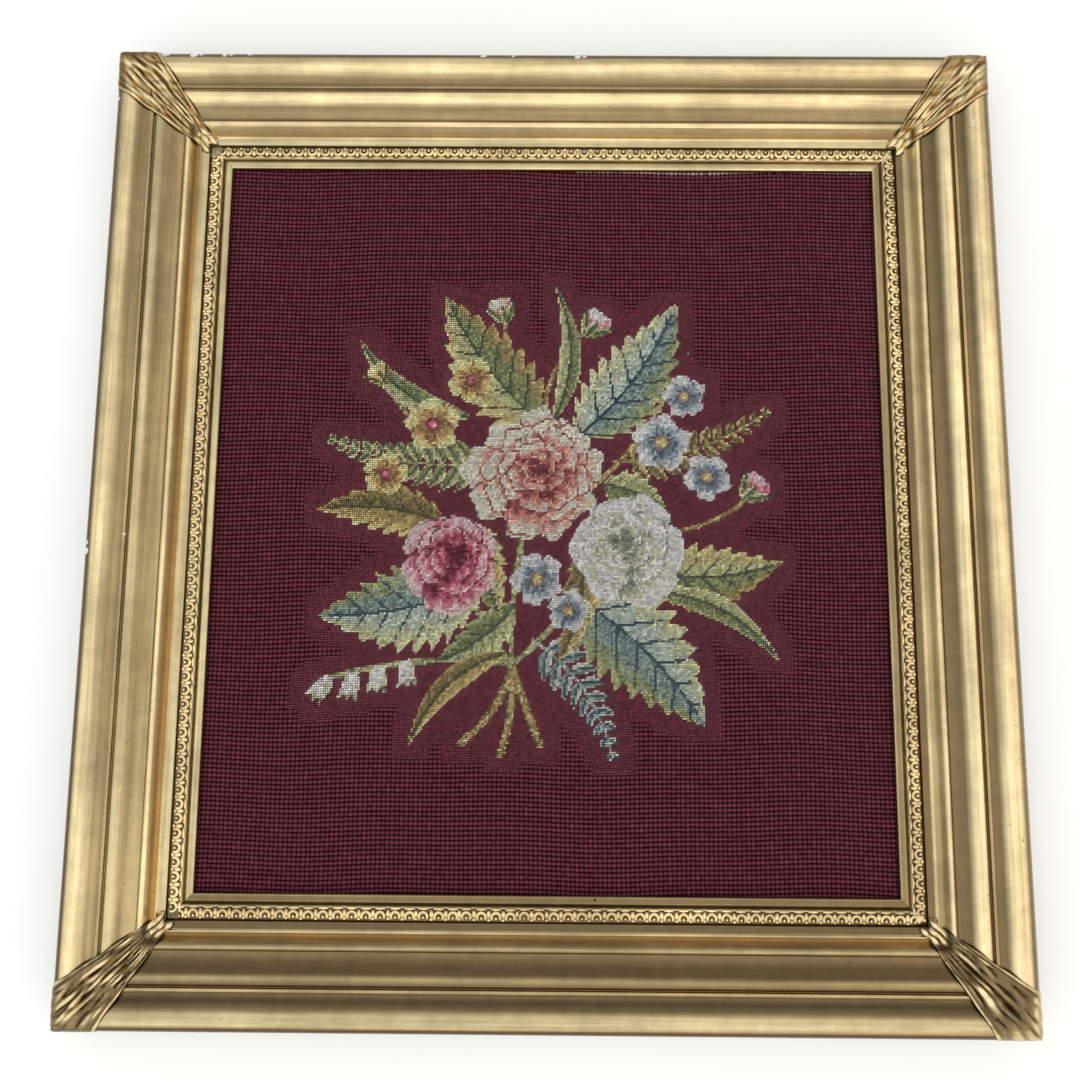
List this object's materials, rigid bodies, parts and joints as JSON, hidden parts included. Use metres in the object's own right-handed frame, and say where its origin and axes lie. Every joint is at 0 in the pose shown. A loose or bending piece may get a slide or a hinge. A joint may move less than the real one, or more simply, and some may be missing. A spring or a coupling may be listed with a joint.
{
  "type": "needlepoint canvas panel in a gilded picture frame",
  "caption": "Rectangular wool needlepoint panel with a flower spray on a burgundy ground, in a moulded gilt frame with corner leaves and an ornamented slip, to hang on a wall.",
  "frame": {"origin": "middle of the frame's back, on the surface it lies on", "axes": "+Z out of the picture's face, +Y towards the top of the picture, +X to the right"},
  "size_m": [0.5166, 0.5496, 0.0361],
  "materials": {
    "wool_canvas": "wool stitches in ridges",
    "gilt_rail": "aged bronze gilding on wood",
    "gilt_slip": "aged bronze gilding on wood",
    "gilt_ornament": "gilded pressed relief",
    "gilt_leaf": "gilded moulded relief"
  },
  "bodies": {
    "root": {"needlepoint_canvas": "wool_canvas", "rail_top": "gilt_rail", "rail_left": "gilt_rail", "rail_bottom": "gilt_rail", "rail_right": "gilt_rail", "slip_top": "gilt_slip", "slip_left": "gilt_slip", "slip_bottom": "gilt_slip", "slip_right": "gilt_slip", "ornament_top": "gilt_ornament", "ornament_left": "gilt_ornament", "ornament_bottom": "gilt_ornament", "ornament_right": "gilt_ornament", "corner_leaf_top_right": "gilt_leaf", "corner_leaf_top_left": "gilt_leaf", "corner_leaf_bottom_left": "gilt_leaf", "corner_leaf_bottom_right": "gilt_leaf"}
  },
  "joints": []
}
